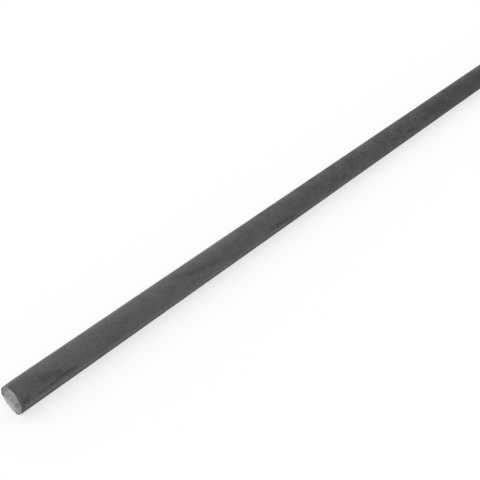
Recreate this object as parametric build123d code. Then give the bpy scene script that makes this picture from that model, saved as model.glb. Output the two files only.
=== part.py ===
from build123d import *
from math import cos, radians, tan
import os

# Round metal bar: hot-rolled round steel, sheared to length and lying on its lowest line.
# Lengths are in millimetres and angles in degrees.
# X runs along the bar from its near end to its far end. The origin is on the ground, half way along.
# An angle round the bar is counted from straight up, and is positive towards +Y.

# Stock
bar_diameter = 12.7
bar_length = 914.4

# Rim of a sheared end, which the blade's notch drew over in a crescent before it bit
rolled_rim_width = 1.35
rolled_rim_setback = 0.8
rolled_rim_reach = 85.0
rolled_rim_angle = -62.0

# Band of a sheared end that the blade rubbed smooth, up to the straight line where the metal tore
rubbed_band_width = 2.3
rubbed_band_slope = 3.0
rubbed_band_angle = 47.0

# The two ends were cut by opposite sides of the shear, so one is turned against the other
turn_between_ends = 180.0

# How far the rolled rim's curve keeps from a sharp corner, as a share of its width and setback
rim_corner_share = 0.12

# How far the shapes that cut the ends stand clear of the bar
cutter_clearance = 1.0

bar_radius = bar_diameter / 2


def rim_centre_drop():
    """How far below the bar's own axis the rolled rim is centred, so that it fades out at its reach."""
    chord_share = 1 - cos(radians(rolled_rim_reach))
    width = rolled_rim_width
    return width * (bar_diameter - width) / (bar_diameter * chord_share - 2 * width)


def rolled_rim_cutter():
    """What the rolled rim lacks, for a bar that starts at the origin and whose blade came from above."""
    inner_edge = (0, bar_radius - rolled_rim_width)
    knee = (rim_corner_share * rolled_rim_setback, bar_radius - rim_corner_share * rolled_rim_width)
    outer_edge = (rolled_rim_setback, bar_radius)
    curve = Bezier(inner_edge, knee, outer_edge)
    clear_of_bar = Polyline(
        outer_edge,
        (rolled_rim_setback, bar_radius + cutter_clearance),
        (-cutter_clearance, bar_radius + cutter_clearance),
        (-cutter_clearance, bar_radius - rolled_rim_width),
        inner_edge,
    )
    profile = Plane.XZ * make_face(curve + clear_of_bar)
    return revolve(profile, axis=Axis((0, 0, -rim_centre_drop()), (1, 0, 0)))


def rubbed_band_cutter():
    """What the rubbed band's slope takes off, for a bar that starts at the origin, blade from above."""
    tear_line = bar_radius - rubbed_band_width
    top = bar_radius + cutter_clearance
    setback_at_top = (top - tear_line) * tan(radians(rubbed_band_slope))
    outline = Polyline(
        (0, tear_line),
        (setback_at_top, top),
        (-cutter_clearance, top),
        (-cutter_clearance, tear_line),
        close=True,
    )
    profile = Plane.XZ * make_face(outline)
    return extrude(profile, amount=bar_radius + cutter_clearance, both=True)


def at_near_end(cutter, angle):
    """The cutter at the bar's near end, its blade's side turned to an angle round the bar."""
    return Pos(X=-bar_length / 2, Z=bar_radius) * Rot(X=-angle) * cutter


def at_far_end(cutter, angle):
    """The same at the far end, which faces the other way and was cut from the other side."""
    turned = Rot(X=-angle - turn_between_ends) * Rot(Z=180) * cutter
    return Pos(X=bar_length / 2, Z=bar_radius) * turned


def round_bar():
    """The whole bar: one round of rolled steel with its two sheared ends."""
    bar = Pos(Z=bar_radius) * Rot(Y=90) * Cylinder(bar_radius, bar_length)
    rim = rolled_rim_cutter()
    band = rubbed_band_cutter()
    for at_end in (at_near_end, at_far_end):
        bar -= at_end(rim, rolled_rim_angle)
        bar -= at_end(band, rubbed_band_angle)
    return bar


os.makedirs("parts", exist_ok=True)
bar = round_bar()
bar.label = "round_bar"
export_step(bar, "parts/round_bar.step")
print("round_bar", "valid", bar.is_valid, "volume", round(bar.volume, 1))
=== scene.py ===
"""Dresses a hot-rolled round bar: mill scale with its marks, and two sheared ends, on a white studio floor.

Lengths in the code are in metres. X runs along the bar, Z is up, and an angle round the bar is counted
from straight up and is positive towards +Y, as in the solid.
"""

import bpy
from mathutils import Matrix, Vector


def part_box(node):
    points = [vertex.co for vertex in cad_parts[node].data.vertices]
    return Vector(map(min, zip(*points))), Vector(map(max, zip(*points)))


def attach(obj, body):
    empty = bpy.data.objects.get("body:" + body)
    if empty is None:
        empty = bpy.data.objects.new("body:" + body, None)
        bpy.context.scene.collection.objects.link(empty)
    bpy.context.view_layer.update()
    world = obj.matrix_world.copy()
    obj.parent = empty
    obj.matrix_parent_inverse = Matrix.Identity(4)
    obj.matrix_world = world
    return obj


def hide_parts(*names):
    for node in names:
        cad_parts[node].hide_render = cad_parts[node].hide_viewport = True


bl_info = {
    "name": "Round Metal Bar",
    "version": (1, 0, 0),
    "blender": (4, 5, 0),
    "location": "View3D > Sidebar > Round Bar",
    "description": "Builds a hot-rolled round bar with mill scale and sheared ends, and its white stage",
    "category": "Add Mesh",
}

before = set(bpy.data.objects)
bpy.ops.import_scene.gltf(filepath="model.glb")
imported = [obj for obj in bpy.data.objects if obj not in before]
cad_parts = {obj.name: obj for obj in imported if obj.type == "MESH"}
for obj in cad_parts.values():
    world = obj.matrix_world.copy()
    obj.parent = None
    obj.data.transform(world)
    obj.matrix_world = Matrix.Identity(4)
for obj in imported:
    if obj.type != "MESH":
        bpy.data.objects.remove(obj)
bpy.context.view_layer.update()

from collections import namedtuple
from math import cos, pi, radians

import bpy
import numpy as np
from bpy.props import FloatProperty, FloatVectorProperty, IntProperty, PointerProperty
from mathutils import Vector, noise

MM = 0.001
NODE = "round_bar"
LOW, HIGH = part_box(NODE)
LENGTH = HIGH.x - LOW.x
RADIUS = (HIGH.z - LOW.z) / 2
AXIS_HEIGHT = LOW.z + RADIUS

# How the mesh is divided: points round the bar, rings on each part of an end, and the steps between the
# rings of the skin, which grow from the ends to the middle
AROUND = 120
TORN_RINGS = 20
BAND_RINGS = 9
RIM_RINGS = 7
FINE_STEP = 0.25 * MM
COARSE_STEP = 1.55 * MM
STEP_GROWTH = 1.08

# The narrowest that the rim and the band beside it get, so that every face there keeps a width
LEAST_RIM = 0.12 * MM
LEAST_BAND = 0.1 * MM

# The least that a direction counts as leaning towards the rubbed band, so that nothing is divided by 0
LEAST_LEAN = 0.05

# Edges of the mesh that fold by less than this are shaded smooth
SHARP_FROM = radians(38)

# The photograph's camera, from the near end of the bar's axis, and its turns about X, Y and Z. The width of
# its sensor is in millimetres
CAMERA_PLACE = Vector((LOW.x - 127.62 * MM, -220.22 * MM, AXIS_HEIGHT + 245.85 * MM))
CAMERA_TURN = (radians(54.378), 0, radians(-49.796))
SENSOR_WIDTH = 36.0

# The light from above leans back, so that it comes from behind the bar as the camera sees it, and it is this
# wide in the sky, so that its shadows are soft
LAMP_LEAN = radians(30)
LAMP_WIDTH = radians(80)


class BarSizes(bpy.types.PropertyGroup):
    """Sizes of the sheared ends and of the relief on the rolled skin."""

    rim_width: FloatProperty(
        name="Rolled rim width", description="How far the rolled rim reaches in from the side",
        default=1.35 * MM, min=0.2 * MM, soft_max=3 * MM, precision=5, unit="LENGTH",
    )
    rim_setback: FloatProperty(
        name="Rolled rim setback", description="How far the rolled rim draws back along the bar",
        default=0.8 * MM, min=0.1 * MM, soft_max=3 * MM, precision=5, unit="LENGTH",
    )
    rim_reach: FloatProperty(
        name="Rolled rim reach", description="Where the rolled rim has faded out, each way from its middle",
        default=radians(85), min=radians(40), max=radians(175), subtype="ANGLE",
    )
    rim_angle: FloatProperty(
        name="Rolled rim angle", description="Middle of the near end's rolled rim, from straight up",
        default=radians(-62), subtype="ANGLE",
    )
    rim_corner: FloatProperty(
        name="Rolled rim corner", description="How far the rim's curve keeps from a sharp corner",
        default=0.12, min=0.02, max=0.45, subtype="FACTOR",
    )
    band_width: FloatProperty(
        name="Rubbed band width", description="From the bar's side to the line where the metal tore",
        default=2.3 * MM, min=0.3 * MM, soft_max=5 * MM, precision=5, unit="LENGTH",
    )
    band_slope: FloatProperty(
        name="Rubbed band slope", description="How far the rubbed band leans back from the end face",
        default=radians(3), min=0, max=radians(40), subtype="ANGLE",
    )
    band_angle: FloatProperty(
        name="Rubbed band angle", description="Middle of the near end's rubbed band, from straight up",
        default=radians(47), subtype="ANGLE",
    )
    burr_height: FloatProperty(
        name="Burr height", description="How far the highest torn lip stands proud of the end face",
        default=0.45 * MM, min=0, soft_max=1 * MM, precision=5, unit="LENGTH",
    )
    edge_wear: FloatProperty(
        name="Edge wear", description="How far the sharp edge of the torn face is worn back",
        default=0.16 * MM, min=0, soft_max=0.5 * MM, precision=5, unit="LENGTH",
    )
    edge_width: FloatProperty(
        name="Edge width", description="How thick the torn lips and the worn edge are at the bar's side",
        default=0.35 * MM, min=0.1 * MM, soft_max=1 * MM, precision=5, unit="LENGTH",
    )
    press_depth: FloatProperty(
        name="Pressed edge", description="How far the blade pressed the side in by the rubbed band",
        default=0.2 * MM, min=0, soft_max=0.5 * MM, precision=5, unit="LENGTH",
    )
    press_angle: FloatProperty(
        name="Pressed edge angle", description="Middle of the near end's pressed edge, from straight up",
        default=radians(44), subtype="ANGLE",
    )
    torn_depth: FloatProperty(
        name="Torn relief", description="Depth of the grain that the tear left on the end face",
        default=0.22 * MM, min=0, soft_max=0.5 * MM, precision=5, unit="LENGTH",
    )
    skin_depth: FloatProperty(
        name="Skin relief", description="Depth of the long shallow unevenness of the rolled skin",
        default=0.03 * MM, min=0, soft_max=0.2 * MM, precision=5, unit="LENGTH",
    )
    dent_depth: FloatProperty(
        name="Dent depth", description="Depth of the deepest handling dent",
        default=0.07 * MM, min=0, soft_max=0.3 * MM, precision=5, unit="LENGTH",
    )
    dent_count: IntProperty(
        name="Dents", description="How many small handling dents the skin has", default=70, min=0, max=400,
    )


class BarFinish(bpy.types.PropertyGroup):
    """Colours of the bar's surfaces, as they look in plain light."""

    scale_colour: FloatVectorProperty(
        name="Mill scale", description="Usual colour of the mill scale",
        default=(0.09, 0.09, 0.091), min=0, max=1, subtype="COLOR",
    )
    # Also the colour towards which the painted shade along the bar's top and front side darkens the scale
    dark_scale_and_shade_colour: FloatVectorProperty(
        name="Dark scale", description="Colour of the thick, dark patches of scale",
        default=(0.016, 0.016, 0.017), min=0, max=1, subtype="COLOR",
    )
    # Also the colour of the painted reflection of the floor low on the front side near the near end
    worn_scale_and_reflection_colour: FloatVectorProperty(
        name="Worn scale", description="Colour of the scale where it is rubbed thin",
        default=(0.135, 0.135, 0.137), min=0, max=1, subtype="COLOR",
    )
    torn_colour: FloatVectorProperty(
        name="Torn face", description="Usual colour of the torn end face",
        default=(0.345, 0.345, 0.347), min=0, max=1, subtype="COLOR",
    )
    bright_colour: FloatVectorProperty(
        name="Bright steel", description="Colour of the freshest steel on the end face",
        default=(0.62, 0.62, 0.625), min=0, max=1, subtype="COLOR",
    )
    pit_colour: FloatVectorProperty(
        name="Torn pits", description="Colour in the pits of the torn end face",
        default=(0.06, 0.06, 0.061), min=0, max=1, subtype="COLOR",
    )
    rubbed_colour: FloatVectorProperty(
        name="Rubbed band", description="Colour of the band that the blade rubbed smooth",
        default=(0.175, 0.175, 0.177), min=0, max=1, subtype="COLOR",
    )


class StageLook(bpy.types.PropertyGroup):
    """The white floor, the soft light and the camera."""

    floor_side: FloatProperty(
        name="Floor side", description="Length of each side of the floor",
        default=12.0, min=2.0, unit="LENGTH",
    )
    floor_colour: FloatVectorProperty(
        name="Floor", description="Colour of the floor, as it lights the bar",
        default=(0.86, 0.86, 0.86), min=0, max=1, subtype="COLOR",
    )
    shadow_share: FloatProperty(
        name="Shadow", description="How much of the floor's white is left to the light and its shadow",
        default=0.3, min=0, max=1, subtype="FACTOR",
    )
    mirrored_shadow: FloatProperty(
        name="Mirrored shadow", description="The same for the floor as it shows in the bar's own gloss",
        default=0.85, min=0, max=1, subtype="FACTOR",
    )
    sky_strength: FloatProperty(
        name="Sky light", description="Strength of the even light from all round", default=0.8, min=0,
    )
    lamp_strength: FloatProperty(
        name="Overhead light", description="Strength of the soft light from above", default=0.48, min=0,
    )
    lens: FloatProperty(
        name="Lens", description="Focal length of the camera on a 36 mm sensor",
        default=67.35, min=10, unit="CAMERA",
    )


def smooth_step(share):
    """0 below 0, 1 above 1 and an even curve between them."""
    share = np.clip(share, 0, 1)
    return share * share * (3 - 2 * share)


def angle_apart(angle, middle):
    """How far an angle is from another the short way round, without its sign."""
    return np.abs((angle - middle + pi) % (2 * pi) - pi)


def noise_at(points, grain, seed):
    """Smooth noise from -1 to 1 at each point, where grain holds its size along X, Y and Z."""
    places = points.reshape(-1, 3) / np.array(grain) + seed
    return np.array([noise.noise(Vector(place)) for place in places]).reshape(points.shape[:-1])


# Over how long a stretch one surface gives way to another, how far bare steel reaches round an edge, and
# how far past the rolled rim it takes to do so in full
EDGE_SOFTNESS = 0.6 * MM
BARE_EDGE_REACH = 0.45 * MM
BARE_EDGE_RISE = radians(35)

# How far round the bar, each way, and how far along it the blade's press reaches
PRESS_SPREAD = radians(18)
PRESS_RUN = 2.2 * MM

# How ragged the wear of the edge is: its usual share, the least and the most that it comes to, and its
# waves, as their strength, how many of them go round the bar and how many times the end's seed shifts them
WEAR_SHARE = 0.7
WEAR_RANGE = (0.1, 1.4)
WEAR_WAVES = [(0.5, 7, 1), (0.35, 19, 2)]


class ShearedEnd:
    """The shape of one end, as a setback from the end plane at each angle and distance from the axis."""

    def __init__(self, sizes, x_end, outward, turn, seed, burrs, chips, patches, coats):
        self.sizes = sizes
        self.x_end = x_end
        self.outward = outward
        self.seed = seed
        self.burrs = burrs
        self.chips = chips
        self.patches = patches
        self.coats = coats
        self.rim_angle = sizes.rim_angle + turn
        self.band_angle = sizes.band_angle + turn
        self.press_angle = sizes.press_angle + turn
        width = sizes.rim_width
        bend = 1 - cos(sizes.rim_reach)
        self.rim_drop = width * (2 * RADIUS - width) / (2 * RADIUS * bend - 2 * width)
        self.rim_inner = RADIUS + self.rim_drop - width
        self.tear_line = RADIUS - sizes.band_width

    def rim_start(self, angle):
        """Distance from the axis at which the rolled rim begins."""
        apart = angle - self.rim_angle
        across = self.rim_drop * np.sin(apart)
        start = np.sqrt(self.rim_inner**2 - across**2) - self.rim_drop * np.cos(apart)
        return np.minimum(start, RADIUS - LEAST_RIM)

    def tear_start(self, angle):
        """Distance from the axis at which the torn face gives way to the rubbed band, or to the rim."""
        lean = np.maximum(np.cos(angle - self.band_angle), LEAST_LEAN)
        return np.minimum(self.tear_line / lean, self.rim_start(angle) - LEAST_BAND)

    def past_tear(self, angle, distance):
        """How far a place lies past the line where the metal tore, on the side that the blade rubbed."""
        return distance * np.cos(angle - self.band_angle) - self.tear_line

    def rim_setback(self, angle, distance):
        """How far the rolled rim lies behind the end plane, on the curve that the solid has."""
        apart = angle - self.rim_angle
        drop = self.rim_drop
        from_centre = np.sqrt(distance**2 + drop**2 + 2 * distance * drop * np.cos(apart))
        climb = np.clip((from_centre - self.rim_inner) / self.sizes.rim_width, 0, 1)
        corner = self.sizes.rim_corner
        straight = 2 * corner - 1
        step = (np.sqrt((1 - corner) ** 2 + straight * climb) - (1 - corner)) / straight
        return self.sizes.rim_setback * (2 * corner * step * (1 - step) + step**2)

    def setback(self, angle, distance):
        """The smooth shape of the end, as the solid has it."""
        band = np.maximum(self.past_tear(angle, distance), 0) * np.tan(self.sizes.band_slope)
        return np.maximum(self.rim_setback(angle, distance), band)

    def lip(self, angle, distance):
        """How far the torn lips stand proud of the end face."""
        share = sum(
            height * np.exp(-((angle_apart(angle, radians(middle)) / radians(half)) ** 2))
            for middle, half, height in self.burrs
        )
        return self.sizes.burr_height * share * self.at_edge(distance)

    def at_edge(self, distance):
        """1 at the bar's side, falling to 0 towards the middle of the face."""
        return np.exp(-(((RADIUS - distance) / self.sizes.edge_width) ** 2))

    def wear(self, angle, distance):
        """How far the edge of the torn face is worn and chipped back."""
        ragged = WEAR_SHARE
        for strength, count, shift in WEAR_WAVES:
            ragged = ragged + strength * np.sin(angle * count + shift * self.seed)
        worn = self.sizes.edge_wear * np.clip(ragged, *WEAR_RANGE) * self.at_edge(distance)
        return worn + MM * patch_sum(angle, distance, self.chips)

    def pressed(self, angle):
        """How far the bar's side is pressed in at this end, on the side that the blade came from."""
        share = np.exp(-((angle_apart(angle, self.press_angle) / PRESS_SPREAD) ** 2))
        return self.sizes.press_depth * share

    def bareness(self, angle, distance):
        """Where bare steel shows on the cap, and where it is rubbed: 1 inside, and 0 past the edge."""
        torn = (self.rim_start(angle) - distance) / EDGE_SOFTNESS + 0.5
        rubbed = self.past_tear(angle, distance) / EDGE_SOFTNESS + 0.5
        bare = np.maximum(torn, rubbed) + patch_sum(angle, distance, self.coats)
        return np.clip(bare, 0, 1), np.clip(rubbed, 0, 1)

    def bare_edge(self, angle, away):
        """Where bare steel shows on the skin beside this end: along its edge, past the rolled rim."""
        past_rim = (angle_apart(angle, self.rim_angle) - self.sizes.rim_reach) / BARE_EDGE_RISE
        return smooth_step(past_rim) * (1 - smooth_step(away / BARE_EDGE_REACH))


# What makes the torn grain and the wear of each end its own
NEAR_SEED = 1.7
FAR_SEED = 5.3

# Torn lips on the edges of the end faces: the middle and half width as angles in degrees, and the height
# as a share of the highest
NEAR_BURRS = [(199, 11, 0.8), (95, 10, 0.7), (72, 10, 0.38)]
FAR_BURRS = [(8, 14, 1.0), (-75, 9, 0.5), (-128, 6, 0.3)]

# Chips in the end faces: the angle in degrees, then distance from the axis, size and depth in millimetres
NEAR_CHIPS = [
    (99, 5.6, 0.45, 0.4), (50, 6.5, 0.8, 0.2), (-140, 6.35, 0.8, 0.55),
    (127, 6.4, 0.9, 0.14), (156, 6.4, 0.7, 0.1),
]
FAR_CHIPS = [(-40, 6.0, 0.5, 0.25), (-102, 6.4, 0.8, 0.3), (27, 6.3, 0.6, 0.2)]

# Light and dark patches of the end faces: angle, distance and size as above, and how much lighter they are,
# or darker where that is below 0
NEAR_PATCHES = [
    (147, 5.3, 2.6, 0.9), (115, 5.3, 1.1, 0.5), (179, 4.4, 1.6, 0.4), (-178, 5.6, 0.9, 0.3),
    (-104, 3.2, 1.3, -0.55), (-148, 3.1, 1.0, -0.6), (-78, 4.3, 0.9, -0.4),
    (-106, 5.0, 0.55, 0.5), (-154, 5.0, 0.8, 0.7), (-120, 5.6, 0.4, 0.35),
    (-135, 5.1, 0.45, -0.5), (-168, 6.0, 0.45, -0.5), (150, 5.7, 0.35, -0.4), (100, 5.8, 0.5, -1.5),
    (22, 4.0, 0.5, 0.35), (2, 4.6, 0.5, 0.35), (-18, 4.7, 0.5, 0.3), (77, 4.8, 0.45, 0.4),
    (45, 5.7, 0.5, -0.4), (33, 5.5, 0.4, 0.35), (66, 5.9, 0.6, -0.25), (165, 2.4, 1.2, 0.28),
    (86, 5.4, 0.7, 0.4), (-60, 1.4, 1.0, 0.4),
]
FAR_PATCHES = [
    (-35, 4.8, 2.0, 0.6), (20, 4.2, 1.2, 0.4), (75, 3.4, 1.4, -0.5), (120, 4.6, 0.9, -0.35),
    (60, 5.2, 0.5, 0.4), (-75, 5.4, 0.5, -0.4), (-140, 5.6, 0.5, 0.4), (170, 5.5, 0.6, -0.4),
]

# Places beside the edge of an end face where its scale is rubbed off, or stays on where the last number is
# below 0: angle, distance and size as above, and how many times EDGE_SOFTNESS the scale's border moves
NEAR_COATS = [(-28, 5.7, 1.3, 0.7), (8, 6.1, 0.9, -1.3)]
FAR_COATS = [(150, 5.7, 1.2, 0.6), (-170, 6.1, 0.8, -1.0)]


def patch_sum(angles, distances, patches):
    """The sum of round soft patches, each with its last number as its height."""
    height = np.zeros(distances.shape)
    for angle, distance, size, rise in patches:
        out = distance * MM
        away = distances**2 + out**2 - 2 * distances * out * np.cos(angles - radians(angle))
        height += rise * np.exp(-away / (size * MM) ** 2)
    return height


def cap_distances(end, angles):
    """Distances from the axis of the cap's rings, from the middle out, with rings on both of its edges."""
    tear = end.tear_start(angles)
    rim = end.rim_start(angles)
    rings = [tear * (i + 1) / TORN_RINGS for i in range(TORN_RINGS)]
    rings += [tear + (rim - tear) * (i + 1) / BAND_RINGS for i in range(BAND_RINGS)]
    rings += [rim + (RADIUS - rim) * (i + 1) / RIM_RINGS for i in range(RIM_RINGS - 1)]
    return np.array(rings)


def round_points(x, angles, distances):
    """Points at these distances along the bar, angles round it and distances from its axis."""
    y = distances * np.sin(angles)
    z = np.maximum(AXIS_HEIGHT + distances * np.cos(angles), LOW.z)
    return np.stack((x, y, z), axis=-1)


# The layers of the torn grain: share of its depth, size of the grain along the tear line and across it in
# millimetres, and what is added to the end's seed. It fades out over TORN_FADE before the face ends
TORN_GRAINS = [(0.45, 2.2, 0.7, 0), (0.35, 0.8, 0.8, 9), (0.2, 0.4, 0.4, 4)]
TORN_FADE = 0.3 * MM


def torn_relief(end, angles, distances):
    """Depth of the torn grain: ridges along the tear line and smaller pits."""
    blade_way = angles - end.band_angle
    along_tear, across_tear = distances * np.sin(blade_way), distances * np.cos(blade_way)
    ridged = np.stack((np.zeros(along_tear.shape), along_tear, across_tear), axis=-1)
    grain = 0
    for share, along, across, shift in TORN_GRAINS:
        grain = grain + share * noise_at(ridged, (1, along * MM, across * MM), end.seed + shift)
    fade = smooth_step((end.tear_start(angles) - distances) / TORN_FADE)
    return end.sizes.torn_depth * (0.5 + grain) * fade


def cap_points(end, angles):
    """Points of one end's cap, ring by ring from the middle out. The outermost ring belongs to the skin."""
    distances = cap_distances(end, angles)
    across = np.broadcast_to(angles, distances.shape)
    setback = end.setback(across, distances) + torn_relief(end, across, distances)
    setback += end.wear(across, distances) - end.lip(across, distances)
    narrowed = distances * (1 - end.pressed(across) / RADIUS)
    return round_points(end.x_end - end.outward * setback, across, narrowed)


def ring_places():
    """Distances of the skin's rings from the near end: close together at both ends and wider between."""
    half, step = [0.0], FINE_STEP
    while half[-1] + step < LENGTH / 2:
        half.append(half[-1] + step)
        step = min(step * STEP_GROWTH, COARSE_STEP)
    half = np.array(half)
    return np.concatenate((half, [LENGTH / 2], LENGTH - half[::-1]))


# The small handling dents: the seed of their draw, the range of their sizes in millimetres and of their
# depths as a share of the deepest, and how many times its size a dent reaches along the bar
DENT_SEED = 31
DENT_SIZES = (0.8, 2.2)
DENT_DEPTHS = (0.2, 1.0)
DENT_REACH = 3


def dent_relief(x, angle, sizes):
    """Depth of the small handling dents, scattered over the skin by a fixed seed."""
    draw = np.random.default_rng(DENT_SEED)
    depth = np.zeros(np.broadcast(x, angle).shape)
    for _ in range(sizes.dent_count):
        middle = draw.uniform(LOW.x, HIGH.x)
        turned = draw.uniform(-pi, pi)
        size = draw.uniform(*DENT_SIZES) * MM
        deep = draw.uniform(*DENT_DEPTHS) * sizes.dent_depth
        near = np.abs(x[:, 0] - middle) < DENT_REACH * size
        away = (x[near] - middle) ** 2 + (angle_apart(angle, turned) * RADIUS) ** 2
        depth[near] += deep * np.exp(-away / size**2)
    return depth


# Over how far along the bar the skin follows the drawn rim, and the worn edge with its lips, and at least
# how many times their depth that is, so that the skin never folds back on itself
DRAWN_RUN, GENTLE_DRAW = 2.5 * MM, 3.1
WORN_RUN, GENTLE_WEAR = 0.6 * MM, 1.8

# The share of a torn lip's height by which the bar's side swells out beside it
LIP_SWELL = 0.5

# The unevenness of the skin, in long waves and short ripples: size of the grain along X, Y and Z, share of
# the depth, and seed. It fades out over RELIEF_RUN at both ends
WAVES = ((40 * MM, 9 * MM, 9 * MM), 0.64, 3.1)
RIPPLES = ((7 * MM, 2.6 * MM, 2.6 * MM), 0.36, 8.4)
RELIEF_RUN = 2 * MM


def faded(depth, away, run, gentle):
    """A depth at the end of the skin, dying away along the bar over a run that is never too short for it."""
    return depth * np.exp(-away / np.maximum(run, gentle * depth))


def skin_points(near, far, angles, sizes):
    """Points of the rolled skin, ring by ring, from the near end's edge to the far end's."""
    places = ring_places()[:, None]
    outline = np.full(angles.shape, RADIUS)
    x = LOW.x + places
    rise = np.zeros((len(places), len(angles)))
    for end, away in ((near, places), (far, LENGTH - places)):
        edge = faded(end.setback(angles, outline), away, DRAWN_RUN, GENTLE_DRAW)
        worn = faded(end.wear(angles, outline), away, WORN_RUN, GENTLE_WEAR)
        lip_here = faded(end.lip(angles, outline), away, WORN_RUN, GENTLE_WEAR)
        x = x - end.outward * (edge + worn - lip_here)
        rise = rise + LIP_SWELL * lip_here - end.pressed(angles) * np.exp(-away / PRESS_RUN)
    across = np.broadcast_to(angles, x.shape)
    flat = round_points(x, across, RADIUS)
    uneven = 0.5
    for grain, share, seed in (WAVES, RIPPLES):
        uneven = uneven + share * noise_at(flat, grain, seed)
    depth = sizes.skin_depth * uneven + dent_relief(x, angles, sizes)
    from_end = np.minimum(places, LENGTH - places)
    depth = np.clip(depth, 0, None) * smooth_step(from_end / RELIEF_RUN)
    return round_points(x, across, RADIUS - depth + rise)


# Dark marks on the scale. Each is the line of its middle, as distances from the near end in millimetres,
# angles round the bar and half widths in millimetres, and its strength. The last three are painted shade,
# not
# marks: broad dark bands along the bar's top and its front side, which stand in for the light falling off
# further along
SKIN_MARKS_AND_SHADE = [
    ([(4, -2, 1.4), (7.5, -18, 2.5), (11, -36, 3.0), (15, -47, 2.2), (19.5, -57, 1.1)], 0.3),
    ([(8, -79, 0.7), (15, -76, 0.6), (22, -71, 0.6), (27, -75, 0.5)], 0.5),
    ([(-2, -64, 1.6), (2, -69, 1.5), (4, -66, 0.9)], 0.5),
    ([(-1, 4, 1.6), (3, 0, 1.4)], 0.35),
    ([(80, 28, 1.5), (83, 14, 1.5), (87, -2, 1.5), (91, -18, 1.6), (96, -30, 1.3)], 0.28),
    ([(95, -29, 1.3), (100, -38, 1.1), (106, -46, 0.95), (113, -54, 0.75)], 0.32),
    ([(84, -33, 0.5), (82.6, -50, 0.6), (82.4, -72, 0.4)], 0.35),
    ([(149, -70, 0.8), (153, -74, 1.0), (158, -78, 1.1), (163, -83, 1.1), (168, -91, 0.8)], 0.5),
    ([(204, -58, 0.8), (206, -72, 0.8)], 0.3),
    ([(255, -50, 1.0), (262, -58, 1.2)], 0.25),
    ([(271, -64, 0.8), (276, -68, 1.2), (280, -80, 1.1)], 0.5),
    ([(285, -14, 0.6), (292, -16, 0.9), (297, -24, 1.6)], 0.45),
    ([(296, -22, 2.0), (303, -45, 3.2), (311, -62, 3.6), (316, -75, 2.8)], 0.5),
    ([(334, -20, 0.9), (340, -28, 1.6), (346, -42, 1.9)], 0.4),
    ([(349, -4, 1.2), (356, -12, 1.6), (362, -22, 1.4)], 0.45),
    # Painted shade: the three bands below darken the bar's top and its front side further along, where less
    # light falls
    ([(125, 22, 1.2), (230, 20, 1.6), (330, 18, 1.9), (395, 16, 2.2)], 0.3),
    ([(290, 16, 1.8), (330, 14, 2.2), (395, 12, 2.4)], 0.95),
    ([(298, -100, 1.0), (315, -98, 1.8), (345, -96, 2.3), (395, -98, 2.4)], 0.6),
]

# Light lines, written as the dark marks are. The first, low on the front side near the near end, is a
# painted reflection of the white floor; the others are where the bar lay on rollers and rubbed its scale
# thin
WORN_LINES_AND_REFLECTION = [
    ([(2, -95, 0.7), (60, -97, 0.6), (150, -95, 0.5), (235, -98, 0.5)], 0.45),
    ([(300, 120, 0.8), (420, 128, 0.6), (560, 122, 0.7), (700, 131, 0.5)], 0.4),
    ([(560, -60, 0.6), (640, -66, 0.7), (760, -58, 0.5)], 0.35),
]

# How the tone of the scale drifts along the bar, partly its own tone and partly painted shade, most from
# about
# 250 to 500 mm, which stands in for the light falling off further along: distance from the near end in
# millimetres, and its tone
TONE_ALONG = [
    (0, 0.03), (60, 0.03), (110, 0.02), (155, -0.2), (250, -0.4), (290, -0.52), (300, -0.74), (325, -0.74),
    (345, -0.96), (380, -1.0), (430, -0.55), (500, -0.2), (600, -0.08), (690, -0.4), (750, -0.2),
    (830, -0.05), (915, -0.15),
]

# The marks past the photograph's edge and round the back: where they start and how far apart they are, in
# millimetres, the angles they start between, and the seed of the draw
HIDDEN_MARKS = (395, 46, -180, 180, 12)
BACK_MARKS = (20, 58, 75, 200, 5)

# How each of these marks winds round the bar: millimetres along it and degrees round it from the mark's
# start, and share of the mark's width. Then the ranges of the widths in millimetres and of the strengths
WINDING = [(0, 0, 1.4), (8, -27, 1.2), (19, -45, 0.7)]
DRAWN_WIDTHS = (0.5, 1.6)
DRAWN_STRENGTHS = (0.25, 0.6)

# How far past its own ends a mark still shows, in millimetres
MARK_MARGIN = 8


def drawn_marks(first, step, low_angle, high_angle, seed):
    """More marks like the ones in view, which wind round the bar the same way, at places drawn by a seed."""
    draw = np.random.default_rng(seed)
    marks = []
    for start in np.arange(first, LENGTH / MM - step, step):
        x = start + draw.uniform(0, step / 2)
        angle = draw.uniform(low_angle, high_angle)
        width = draw.uniform(*DRAWN_WIDTHS)
        strength = draw.uniform(*DRAWN_STRENGTHS)
        marks.append(([(x + run, angle + turn, share * width) for run, turn, share in WINDING], strength))
    return marks


def line_share(along, around, line):
    """How near each place of the unrolled skin is to a mark's line: 1 on it, fading out over its width."""
    best = np.zeros(along.shape)
    for (x0, angle0, width0), (x1, angle1, width1) in zip(line[:-1], line[1:]):
        turned = (around - radians(angle0) + pi) % (2 * pi) - pi
        x, y = along - x0 * MM, turned * RADIUS
        run_x, run_y = (x1 - x0) * MM, radians(angle1 - angle0) * RADIUS
        share = np.clip((x * run_x + y * run_y) / (run_x**2 + run_y**2), 0, 1)
        width = (width0 + share * (width1 - width0)) * MM
        away = np.hypot(x - share * run_x, y - share * run_y)
        best = np.maximum(best, np.exp(-((away / width) ** 2)))
    return best


def strongest(along, around, marks):
    """The strength of the strongest of the marks at each place of the unrolled skin."""
    most = np.zeros(along.shape)
    for line, strength in marks:
        first, last = (line[0][0] - MARK_MARGIN) * MM, (line[-1][0] + MARK_MARGIN) * MM
        near = (along[:, 0] > first) & (along[:, 0] < last)
        most[near] = np.maximum(most[near], strength * line_share(along[near], around[near], line))
    return most


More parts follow.
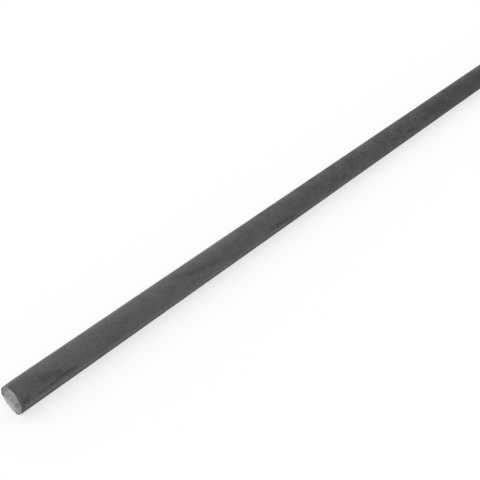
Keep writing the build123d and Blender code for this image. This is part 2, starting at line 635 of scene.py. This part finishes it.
def skin_tone(points, angles):
    """How much lighter or darker each point of the skin is, from the marks, the lines and the drift along
    the bar, with the painted shade and the painted reflection among them.
    """
    along = points[..., 0] - LOW.x
    around = np.broadcast_to(angles, along.shape)
    darkest = strongest(along, around, SKIN_MARKS_AND_SHADE + drawn_marks(*HIDDEN_MARKS) + drawn_marks(*BACK_MARKS))
    lightest = strongest(along, around, WORN_LINES_AND_REFLECTION)
    stations, tones = np.array(TONE_ALONG).T
    return np.interp(along, stations * MM, tones) - darkest + lightest


def ring_faces(first, second):
    """Quads between two rings of vertex numbers, which run the same way round."""
    after_first, after_second = np.roll(first, -1), np.roll(second, -1)
    return np.stack((second, after_second, after_first, first), axis=1)


def closed_faces(ring_count):
    """A fan of triangles round the middle of each end, and the quads between the rings."""
    rings = 1 + np.arange(ring_count * AROUND).reshape(ring_count, AROUND)
    last = ring_count * AROUND + 1
    near_fan = [(0, int(a), int(b)) for a, b in zip(rings[0], np.roll(rings[0], -1))]
    far_fan = [(last, int(b), int(a)) for a, b in zip(rings[-1], np.roll(rings[-1], -1))]
    quads = np.concatenate([ring_faces(a, b) for a, b in zip(rings[:-1], rings[1:])])
    return near_fan, far_fan, quads


# How the skin and the ends share the square of the texture map: the skin is cut into strips laid one over
# another, and the ends are two discs above them, with some room to spare for what stands out from the bar
STRIPS = 5
STRIPS_HEIGHT = 0.84
MAP_GAP = 0.004
DISC_SIZE = 0.15
DISC_SPARE = 1 * MM
DISC_PLACES = ((0.085, 0.92), (0.255, 0.92))


def disc_map(points, place):
    """Places on the map for points of an end."""
    shrink = (DISC_SIZE - 2 * MAP_GAP) / (2 * RADIUS + DISC_SPARE)
    u = place[0] + points[..., 1] * shrink
    v = place[1] + (points[..., 2] - AXIS_HEIGHT) * shrink
    return np.stack((u, v), axis=-1)


def skin_map(places):
    """Places on the map for the corners of each quad of the skin, in the order that ring_faces gives."""
    starts = np.searchsorted(places, LENGTH * np.arange(STRIPS + 1) / STRIPS)
    starts[-1] = len(places) - 1
    height = STRIPS_HEIGHT / STRIPS
    maps = []
    for strip, (first, last) in enumerate(zip(starts[:-1], starts[1:])):
        run = places[first:last + 1] - places[first]
        u = MAP_GAP + (1 - 2 * MAP_GAP) * run / run[-1]
        v = height * strip + MAP_GAP + (height - 2 * MAP_GAP) * np.arange(AROUND + 1) / AROUND
        u0, v0 = np.meshgrid(u[:-1], v[:-1], indexing="ij")
        u1, v1 = np.meshgrid(u[1:], v[1:], indexing="ij")
        corners = [np.stack(pair, axis=-1) for pair in ((u1, v0), (u1, v1), (u0, v1), (u0, v0))]
        maps.append(np.stack(corners, axis=2).reshape(-1, 4, 2))
    return np.concatenate(maps)


def whole_map(points, near_fan, far_fan, quads, cap_rings):
    """Places on the map for the corners of every face, in the mesh's order: both fans, then the quads."""
    cap_quads = cap_rings * AROUND
    parts = (
        disc_map(points[np.array(near_fan)], DISC_PLACES[0]),
        disc_map(points[np.array(far_fan)], DISC_PLACES[1]),
        disc_map(points[quads[:cap_quads]], DISC_PLACES[0]),
        skin_map(ring_places()),
        disc_map(points[quads[-cap_quads:]], DISC_PLACES[1]),
    )
    return np.concatenate([part.ravel() for part in parts])


def new_mesh_object(name, points, faces):
    """A new object in the scene with these points and faces."""
    mesh = bpy.data.meshes.new(name)
    mesh.from_pydata(points, [], faces)
    mesh.update()
    piece = bpy.data.objects.new(name, mesh)
    bpy.context.scene.collection.objects.link(piece)
    return piece


def add_node(tree, kind, inputs=None, **settings):
    """A new node with these settings, each input fed with a number, a colour or another node's output."""
    node = tree.nodes.new(kind)
    for name, value in settings.items():
        setattr(node, name, value)
    for name, value in (inputs or {}).items():
        if isinstance(value, bpy.types.NodeSocket):
            tree.links.new(value, node.inputs[name])
        else:
            node.inputs[name].default_value = value
    return node


def place_in_mm(tree, stretch=(1, 1, 1), turn=0.0):
    """Places on the bar in millimetres, turned so that Z points to an angle, and then stretched."""
    here = add_node(tree, "ShaderNodeTexCoord").outputs["Object"]
    size = tuple(MM / part for part in stretch)
    inputs = {"Vector": here, "Rotation": (-turn, 0, 0), "Scale": size}
    return add_node(tree, "ShaderNodeMapping", inputs, vector_type="TEXTURE").outputs["Vector"]


def cloud(tree, place, size, detail=3.0, roughness=0.55):
    """Soft noise from 0 to 1 with grains of about this size, in the units of the place."""
    inputs = {"Vector": place, "Scale": 1 / size, "Detail": detail, "Roughness": roughness}
    return add_node(tree, "ShaderNodeTexNoise", inputs).outputs[0]


def ramp(tree, value, low, high, to_low=0.0, to_high=1.0):
    """The value taken smoothly from one range to another."""
    inputs = {"Value": value, "From Min": low, "From Max": high, "To Min": to_low, "To Max": to_high}
    return add_node(tree, "ShaderNodeMapRange", inputs, interpolation_type="SMOOTHSTEP").outputs["Result"]


def arithmetic(tree, operation, first, second, clamp=False):
    """One sum on two numbers."""
    node = add_node(tree, "ShaderNodeMath", {0: first, 1: second}, operation=operation, use_clamp=clamp)
    return node.outputs[0]


def total(tree, *values):
    """The sum of several numbers, kept between 0 and 1."""
    result = values[0]
    for value in values[1:]:
        result = arithmetic(tree, "ADD", result, value)
    return arithmetic(tree, "ADD", result, 0.0, clamp=True)


def product(tree, *values):
    """The product of several numbers."""
    result = values[0]
    for value in values[1:]:
        result = arithmetic(tree, "MULTIPLY", result, value)
    return result


def is_colour(value):
    """Whether a value or a node's output holds a colour."""
    if isinstance(value, bpy.types.NodeSocket):
        return value.type == "RGBA"
    return not np.isscalar(value)


def mix(tree, share, first, second):
    """A number or a colour between two, by a share from 0 to 1."""
    node = tree.nodes.new("ShaderNodeMix")
    node.data_type, fitting = ("RGBA", "RGBA") if is_colour(first) else ("FLOAT", "VALUE")
    tree.links.new(share, node.inputs[0])
    sockets = [s for s in node.inputs if s.type == fitting and s.name in ("A", "B")]
    for socket, value in zip(sockets, (first, second)):
        if isinstance(value, bpy.types.NodeSocket):
            tree.links.new(value, socket)
        else:
            socket.default_value = (*value, 1) if is_colour(value) else value
    return next(s for s in node.outputs if s.type == fitting)


def mesh_value(tree, name):
    """A number that the mesh holds at each point."""
    node = add_node(tree, "ShaderNodeAttribute", attribute_name=name, attribute_type="GEOMETRY")
    return node.outputs["Fac"]


Surface = namedtuple("Surface", "colour roughness metallic height")

# How metallic the mill scale and the bare steel are
SCALE_METALLIC = 0.15
STEEL_METALLIC = 0.5

# How far noise frays the border between two surfaces, and the shares between which the border then runs
FRAY = 0.4
BORDER = (0.36, 0.64)


def blend(tree, share, first, second):
    """One surface that gives way to another by a share from 0 to 1."""
    return Surface(*(mix(tree, share, a, b) for a, b in zip(first, second)))


def uneven_edge(tree, share, size):
    """A share with its edge drawn sharper and frayed by noise of this size."""
    fray = ramp(tree, cloud(tree, place_in_mm(tree), size), 0.2, 0.8, -FRAY, FRAY)
    return ramp(tree, arithmetic(tree, "ADD", share, fray), *BORDER)


def scale_surface(tree, finish, tone):
    """Mill scale: dark grey, mottled along the bar, with dark patches, thin spots and fine scratches."""
    plain = place_in_mm(tree)
    broad = cloud(tree, place_in_mm(tree, stretch=(0.3, 1, 1)), size=14.0)
    patches = cloud(tree, plain, size=5.5, detail=5.0, roughness=0.62)
    grain = cloud(tree, plain, size=0.9, detail=5.0, roughness=0.75)
    scratches = cloud(tree, place_in_mm(tree, stretch=(0.03, 1, 1)), size=0.35, detail=2.0)
    flakes = cloud(tree, plain, size=2.4, detail=4.0, roughness=0.5)

    uneven = ramp(tree, patches, 0.35, 0.65, 0.88, 1.12)
    # The mesh's tone darkens the scale with its dark marks and with painted shade along the top and front
    # side further along, and lightens it with its worn lines and a painted reflection of the floor low on
    # the front side near the near end
    darkness = total(
        tree, ramp(tree, broad, 0.42, 0.68, 0.05, 0.16), ramp(tree, patches, 0.45, 0.72, 0, 0.13),
        ramp(tree, grain, 0.36, 0.64, -0.1, 0.36), ramp(tree, flakes, 0.56, 0.6, 0, 0.06),
        product(tree, tone, uneven, -1.0),
    )
    thin = product(tree, ramp(tree, scratches, 0.6, 0.75), ramp(tree, patches, 0.6, 0.4), 0.35)
    specks = ramp(tree, cloud(tree, plain, size=0.55, detail=2.0), 0.66, 0.74, 0, 0.35)
    colour = mix(tree, darkness, finish.scale_colour, finish.dark_scale_and_shade_colour)
    # Thin spots, specks and the worn lines, with the painted reflection of the floor among them
    worn = total(tree, thin, specks, ramp(tree, tone, 0.05, 0.6, 0, 0.6))
    colour = mix(tree, worn, colour, finish.worn_scale_and_reflection_colour)
    roughness = ramp(tree, patches, 0.3, 0.7, 0.44, 0.56)
    height = total(tree, product(tree, grain, 0.5), product(tree, patches, 0.3), product(tree, flakes, 0.2))
    return Surface(colour, roughness, SCALE_METALLIC, height)


def torn_surface(tree, finish, tone):
    """Torn steel: light grey and granular, with bright grains and dark pits."""
    plain = place_in_mm(tree)
    grain = cloud(tree, plain, size=0.55, detail=3.0, roughness=0.6)
    pits = cloud(tree, plain, size=0.8, detail=2.0, roughness=0.5)
    dots = cloud(tree, place_in_mm(tree, turn=0.6), size=0.7, detail=1.0, roughness=0.4)
    pitted = total(
        tree, ramp(tree, pits, 0.52, 0.66, 0, 0.55), ramp(tree, grain, 0.45, 0.7, -0.1, 0.4),
        ramp(tree, dots, 0.47, 0.62, -0.08, 0.36), ramp(tree, tone, 0.0, -1.0),
    )
    lit = total(tree, ramp(tree, tone, 0.0, 1.0), ramp(tree, grain, 0.46, 0.3, 0, 0.3))
    colour = mix(tree, lit, finish.torn_colour, finish.bright_colour)
    colour = mix(tree, pitted, colour, finish.pit_colour)
    roughness = ramp(tree, grain, 0.3, 0.7, 0.42, 0.62)
    return Surface(colour, roughness, STEEL_METALLIC, height=grain)


def rubbed_surface(tree, finish, tone, blade_angle):
    """Steel that the blade rubbed smooth, with fine lines along the blade's way and stains."""
    blade_way = place_in_mm(tree, stretch=(1, 1, 0.15), turn=blade_angle)
    lines = cloud(tree, blade_way, size=0.35, detail=2.0)
    stains = cloud(tree, place_in_mm(tree), size=0.9)
    stained = total(tree, ramp(tree, stains, 0.45, 0.7, 0, 0.6), ramp(tree, tone, 0.0, -1.0))
    lit = total(tree, ramp(tree, tone, 0.0, 1.0), ramp(tree, lines, 0.55, 0.75, 0, 0.35))
    colour = mix(tree, lit, finish.rubbed_colour, finish.bright_colour)
    colour = mix(tree, stained, colour, finish.pit_colour)
    roughness = ramp(tree, lines, 0.3, 0.7, 0.32, 0.48)
    return Surface(colour, roughness, STEEL_METALLIC, height=lines)


def new_material(name):
    """An empty material and its node tree."""
    material = bpy.data.materials.new(name)
    material.use_nodes = True
    material.node_tree.nodes.clear()
    return material, material.node_tree


# How high the finest grain stands, which only the light shows
GRAIN_HEIGHT = 0.06 * MM


def bar_material(finish, blade_angle):
    """The bar's one material: mill scale, which gives way to bare steel on the sheared ends."""
    material, tree = new_material("rolled_and_sheared_steel")
    tone = mesh_value(tree, "tone")
    torn = torn_surface(tree, finish, tone)
    rubbed = rubbed_surface(tree, finish, tone, blade_angle)
    steel = blend(tree, uneven_edge(tree, mesh_value(tree, "rubbed"), size=0.7), torn, rubbed)
    bare = uneven_edge(tree, mesh_value(tree, "bare"), size=0.8)
    surface = blend(tree, bare, scale_surface(tree, finish, tone), steel)
    relief = add_node(
        tree, "ShaderNodeBump",
        {"Height": surface.height, "Strength": 1.0, "Distance": GRAIN_HEIGHT},
    )
    shader = add_node(
        tree, "ShaderNodeBsdfPrincipled",
        {
            "Base Color": surface.colour, "Roughness": surface.roughness, "Metallic": surface.metallic,
            "Normal": relief.outputs["Normal"],
        },
    )
    add_node(tree, "ShaderNodeOutputMaterial", {"Surface": shader.outputs[0]})
    return material


def closed_values(near_cap, skin, far_cap):
    """Numbers for all the points in the mesh's order, from numbers for the two caps and the skin."""
    near_middle, far_middle = [near_cap[0].mean()], [far_cap[0].mean()]
    return np.concatenate((near_middle, near_cap.ravel(), skin.ravel(), far_cap[::-1].ravel(), far_middle))


def set_point_values(mesh, name, near_cap, skin, far_cap):
    """Stores a number at each point of the mesh."""
    layer = mesh.attributes.new(name, "FLOAT", "POINT")
    layer.data.foreach_set("value", closed_values(near_cap, skin, far_cap).astype(np.float32))


def set_tones(mesh, near, far, angles, skin):
    """Stores on the mesh how light each point is, and where it is bare or rubbed steel."""
    near_out, far_out = cap_distances(near, angles), cap_distances(far, angles)
    across = np.broadcast_to(angles, near_out.shape)
    near_tone = patch_sum(across, near_out, near.patches)
    far_tone = patch_sum(across, far_out, far.patches)
    set_point_values(mesh, "tone", near_tone, skin_tone(skin, angles), far_tone)
    near_bare, near_rubbed = near.bareness(across, near_out)
    far_bare, far_rubbed = far.bareness(across, far_out)
    away = ring_places()[:, None]
    edges = near.bare_edge(angles, away) + far.bare_edge(angles, LENGTH - away)
    set_point_values(mesh, "bare", near_bare, edges, far_bare)
    set_point_values(mesh, "rubbed", near_rubbed, np.zeros(edges.shape), far_rubbed)


class ROUNDBAR_OT_bar(bpy.types.Operator):
    """Build the bar: its rolled skin and its two sheared ends, as one closed mesh"""

    bl_idname = "mesh.round_bar_add"
    bl_label = "Build Bar"

    def execute(self, context):
        sizes = context.scene.round_bar_sizes
        angles = np.arange(AROUND) * 2 * pi / AROUND - pi
        near = ShearedEnd(
            sizes, x_end=LOW.x, outward=-1, turn=0.0, seed=NEAR_SEED,
            burrs=NEAR_BURRS, chips=NEAR_CHIPS, patches=NEAR_PATCHES, coats=NEAR_COATS,
        )
        far = ShearedEnd(
            sizes, x_end=HIGH.x, outward=1, turn=pi, seed=FAR_SEED,
            burrs=FAR_BURRS, chips=FAR_CHIPS, patches=FAR_PATCHES, coats=FAR_COATS,
        )
        near_cap, far_cap = cap_points(near, angles), cap_points(far, angles)
        skin = skin_points(near, far, angles, sizes)
        rings = np.concatenate((near_cap, skin, far_cap[::-1]))
        middles = near_cap[0].mean(axis=0), far_cap[0].mean(axis=0)
        points = np.concatenate(([middles[0]], rings.reshape(-1, 3), [middles[1]]))
        near_fan, far_fan, quads = closed_faces(len(rings))
        piece = new_mesh_object("rolled_bar", points.tolist(), near_fan + far_fan + quads.tolist())
        layer = piece.data.uv_layers.new(name="OFBake")
        places = whole_map(points, near_fan, far_fan, quads, len(near_cap))
        layer.data.foreach_set("uv", places.astype(np.float32))

        set_tones(piece.data, near, far, angles, skin)
        piece.data.materials.append(bar_material(context.scene.round_bar_finish, sizes.band_angle))
        piece.data.polygons.foreach_set("use_smooth", np.ones(len(piece.data.polygons), bool))
        piece.data.set_sharp_from_angle(angle=SHARP_FROM)
        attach(piece, "root")
        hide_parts(NODE)
        return {"FINISHED"}


def seen_rays(tree):
    """1 for a ray of the camera, or one that a mirror or a glass sends on, and 0 for light."""
    path = add_node(tree, "ShaderNodeLightPath").outputs
    return total(tree, path["Is Camera Ray"], path["Is Glossy Ray"], path["Is Transmission Ray"])


def white_floor_material(look):
    """A floor that looks white to the camera and in reflections, keeps a soft shadow and lights the bar."""
    material, tree = new_material("white_floor")
    seen = seen_rays(tree)
    looked_at = add_node(tree, "ShaderNodeLightPath").outputs["Is Camera Ray"]
    # How bright the sky and the lamp alone would make a pure white floor
    daylight = look.sky_strength + look.lamp_strength * cos(LAMP_LEAN) / pi
    mirrored, plain = ([share / daylight] * 3 for share in (look.mirrored_shadow, look.shadow_share))
    colour = mix(tree, seen, look.floor_colour, mix(tree, looked_at, mirrored, plain))
    glow = product(tree, seen, mix(tree, looked_at, 1 - look.mirrored_shadow, 1 - look.shadow_share))
    shader = add_node(
        tree, "ShaderNodeBsdfPrincipled",
        {
            "Base Color": colour, "Roughness": 1.0, "Specular IOR Level": 0.0,
            "Emission Color": (1, 1, 1, 1), "Emission Strength": glow,
        },
    )
    add_node(tree, "ShaderNodeOutputMaterial", {"Surface": shader.outputs[0]})
    return material


def white_world(look):
    """An even white surrounding, seen at full white and lighting the bar at the sky's strength."""
    world = bpy.data.worlds.new("white_studio")
    world.use_nodes = True
    tree = world.node_tree
    tree.nodes.clear()
    strength = mix(tree, seen_rays(tree), look.sky_strength, 1.0)
    sky = add_node(tree, "ShaderNodeBackground", {"Color": (1, 1, 1, 1), "Strength": strength})
    add_node(tree, "ShaderNodeOutputWorld", {"Surface": sky.outputs[0]})
    return world


class ROUNDBAR_OT_stage(bpy.types.Operator):
    """Build the white floor, the soft light and the camera"""

    bl_idname = "scene.round_bar_stage"
    bl_label = "Build Stage"

    def execute(self, context):
        scene, look = context.scene, context.scene.round_bar_stage
        half = look.floor_side / 2
        corners = [(-half, -half, LOW.z), (half, -half, LOW.z), (half, half, LOW.z), (-half, half, LOW.z)]
        floor = new_mesh_object("white_floor", corners, [(0, 1, 2, 3)])
        floor.data.materials.append(white_floor_material(look))
        scene.world = white_world(look)

        lamp_data = bpy.data.lights.new("overhead_light", "SUN")
        lamp_data.energy = look.lamp_strength
        lamp_data.angle = LAMP_WIDTH
        lamp = bpy.data.objects.new("overhead_light", lamp_data)
        lamp.rotation_euler = (-LAMP_LEAN, 0, 0)
        scene.collection.objects.link(lamp)

        camera_data = bpy.data.cameras.new("photo_camera")
        camera_data.lens = look.lens
        camera_data.sensor_width = SENSOR_WIDTH
        camera = bpy.data.objects.new("photo_camera", camera_data)
        camera.location = CAMERA_PLACE
        camera.rotation_euler = CAMERA_TURN
        scene.collection.objects.link(camera)
        scene.camera = camera
        scene.view_settings.view_transform = "Standard"
        return {"FINISHED"}


class ROUNDBAR_PT_panel(bpy.types.Panel):
    """Lists the bar's sizes, its colours and the steps that build it"""

    bl_idname = "ROUNDBAR_PT_panel"
    bl_label = "Round Metal Bar"
    bl_space_type = "VIEW_3D"
    bl_region_type = "UI"
    bl_category = "Round Bar"

    def draw(self, context):
        for group in ("round_bar_sizes", "round_bar_finish", "round_bar_stage"):
            settings = getattr(context.scene, group)
            box = self.layout.box()
            for name in settings.__annotations__:
                box.prop(settings, name)
        self.layout.operator(ROUNDBAR_OT_bar.bl_idname)
        self.layout.operator(ROUNDBAR_OT_stage.bl_idname)


CLASSES = (BarSizes, BarFinish, StageLook, ROUNDBAR_OT_bar, ROUNDBAR_OT_stage, ROUNDBAR_PT_panel)


def register():
    """Makes the classes and the settings of the scene known to Blender."""
    for kind in CLASSES:
        bpy.utils.register_class(kind)
    bpy.types.Scene.round_bar_sizes = PointerProperty(type=BarSizes)
    bpy.types.Scene.round_bar_finish = PointerProperty(type=BarFinish)
    bpy.types.Scene.round_bar_stage = PointerProperty(type=StageLook)


def unregister():
    """Takes the settings and the classes out again."""
    del bpy.types.Scene.round_bar_sizes
    del bpy.types.Scene.round_bar_finish
    del bpy.types.Scene.round_bar_stage
    for kind in reversed(CLASSES):
        bpy.utils.unregister_class(kind)


def main():
    """Builds everything."""
    register()
    bpy.ops.mesh.round_bar_add()
    bpy.ops.scene.round_bar_stage()


if __name__ == "__main__":
    main()
